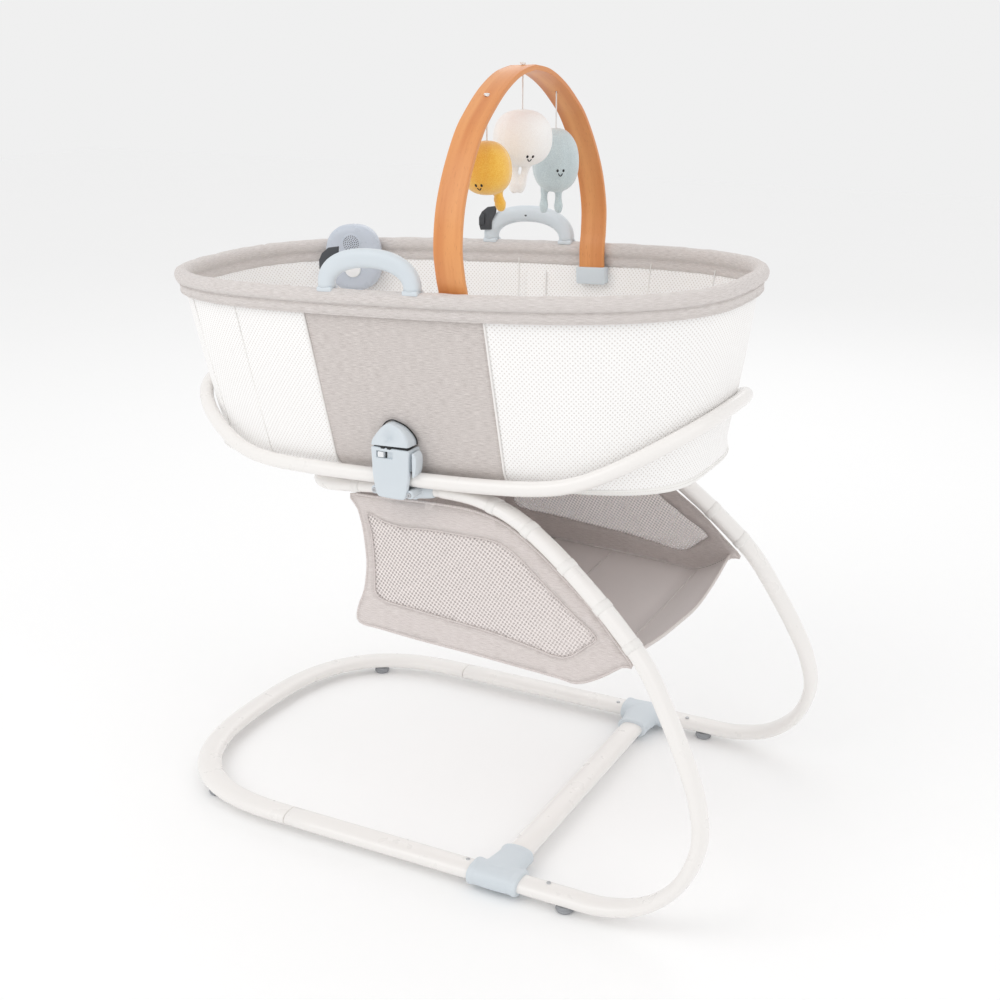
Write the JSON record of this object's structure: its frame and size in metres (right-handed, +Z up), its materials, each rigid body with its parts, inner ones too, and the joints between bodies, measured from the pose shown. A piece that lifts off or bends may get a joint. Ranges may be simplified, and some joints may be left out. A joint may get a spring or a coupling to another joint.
{
  "type": "baby cradle",
  "caption": "Rocking baby cradle: padded mesh bassinet with carry handles, toy arch and soother unit on a tube ring, carried by a C-shaped tube stand with a storage basket.",
  "frame": {"origin": "on the floor, at the middle of the footprint", "axes": "+X towards the foot end, where the side frames bulge out; +Y to the far side, where the soother unit hangs; +Z up"},
  "size_m": [0.947, 0.605, 1.1057],
  "materials": {
    "white_paint": "gloss",
    "bright_steel": "satin",
    "pale_plastic": "satin",
    "violet_plastic": "satin",
    "white_plastic": "gloss",
    "grey_cloth": "matte",
    "white_cloth": "matte",
    "basket_cloth": "matte",
    "board": "matte",
    "beech": "satin",
    "foot_rubber": "matte",
    "dark_plastic": "matte",
    "yellow_plush": "matte",
    "white_plush": "matte",
    "blue_plush": "matte",
    "cord": "matte"
  },
  "bodies": {
    "stand": {"base_front_tube": "white_paint", "side_rail_near": "white_paint", "side_rail_far": "white_paint", "leg_tube_near": "white_paint", "leg_tube_far": "white_paint", "rear_tube": "white_paint", "crossbar": "white_paint", "floor_hub_near": "pale_plastic", "floor_hub_far": "pale_plastic", "foot_pads": "foot_rubber", "frame_screws": "bright_steel", "stand_cover_near": "pale_plastic", "stand_cover_far": "pale_plastic", "tube_clamp_near": "pale_plastic", "tube_clamp_far": "pale_plastic", "cover_screws": "bright_steel", "pivot_pins": "bright_steel", "basket_near": "basket_cloth", "basket_far": "basket_cloth", "basket_floor": "basket_cloth", "basket_head": "basket_cloth", "basket_loops": "basket_cloth"},
    "ring": {"ring_head_tube": "white_paint", "ring_foot_tube": "white_paint", "ring_hub_near": "pale_plastic", "ring_hub_far": "pale_plastic"},
    "bassinet": {"rim_tube": "bright_steel", "rim_band": "grey_cloth", "side_panel_near": "grey_cloth", "side_panel_far": "grey_cloth", "mesh_head": "white_cloth", "mesh_foot": "white_cloth", "base_board": "board", "mattress": "white_cloth", "strut_near": "bright_steel", "strut_far": "bright_steel", "latch_cap_near": "pale_plastic", "latch_cap_far": "pale_plastic", "handle_near": "pale_plastic", "handle_far": "pale_plastic", "handle_clips": "dark_plastic", "handle_screws": "bright_steel", "arch_socket_near": "pale_plastic", "arch_socket_far": "pale_plastic", "soother_back": "violet_plastic", "soother_front": "violet_plastic", "soother_grille": "violet_plastic", "soother_lens": "white_plastic"},
    "lock_near": {"lock_slider_near": "white_plastic"},
    "lock_far": {"lock_slider_far": "white_plastic"},
    "button_near": {"release_button_near": "pale_plastic"},
    "button_far": {"release_button_far": "pale_plastic"},
    "toy_arch": {"toy_arch": "beech"},
    "yellow_toy": {"toy_yellow": "yellow_plush", "string_yellow": "cord"},
    "white_toy": {"toy_white": "white_plush", "string_white": "cord"},
    "blue_toy": {"toy_blue": "blue_plush", "string_blue": "cord"},
    "soother_button": {"soother_button": "pale_plastic"}
  },
  "joints": [
    {"name": "rock", "type": "hinge", "parent": "stand", "child": "ring", "pos_m": [-0.00676, 0, 0.5915], "axis": [0, -1, 0], "range_deg": [-3.5, 1.1]},
    {"name": "bassinet_lift", "type": "slide", "parent": "ring", "child": "bassinet", "axis": [-0.0419, 0, 0.9991], "range_m": [0, 0.25]},
    {"name": "arch_pull_out", "type": "slide", "parent": "bassinet", "child": "toy_arch", "axis": [-0.0419, 0, 0.9991], "range_m": [0, 0.12]},
    {"name": "yellow_toy_swing", "type": "hinge", "parent": "toy_arch", "child": "yellow_toy", "pos_m": [0.07355, -0.108, 1.06328], "axis": [0, 1, 0], "range_deg": [-15, 15]},
    {"name": "white_toy_swing", "type": "hinge", "parent": "toy_arch", "child": "white_toy", "pos_m": [0.07207, 0, 1.09875], "axis": [0, 1, 0], "range_deg": [-15, 15]},
    {"name": "blue_toy_swing", "type": "hinge", "parent": "toy_arch", "child": "blue_toy", "pos_m": [0.07347, 0.105, 1.06528], "axis": [0, 1, 0], "range_deg": [-15, 15]},
    {"name": "lock_slide_near", "type": "slide", "parent": "stand", "child": "lock_near", "axis": [1, 0, 0], "range_m": [0, 0.008]},
    {"name": "release_press_near", "type": "slide", "parent": "stand", "child": "button_near", "axis": [-1, 0, 0], "range_m": [0, 0.003], "stiffness_N_per_m": 400},
    {"name": "lock_slide_far", "type": "slide", "parent": "stand", "child": "lock_far", "axis": [1, 0, 0], "range_m": [0, 0.008]},
    {"name": "release_press_far", "type": "slide", "parent": "stand", "child": "button_far", "axis": [-1, 0, 0], "range_m": [0, 0.003], "stiffness_N_per_m": 400},
    {"name": "soother_press", "type": "slide", "parent": "bassinet", "child": "soother_button", "axis": [-0.3574, 0.9338, -0.015], "range_m": [0, 0.0015], "stiffness_N_per_m": 400}
  ]
}
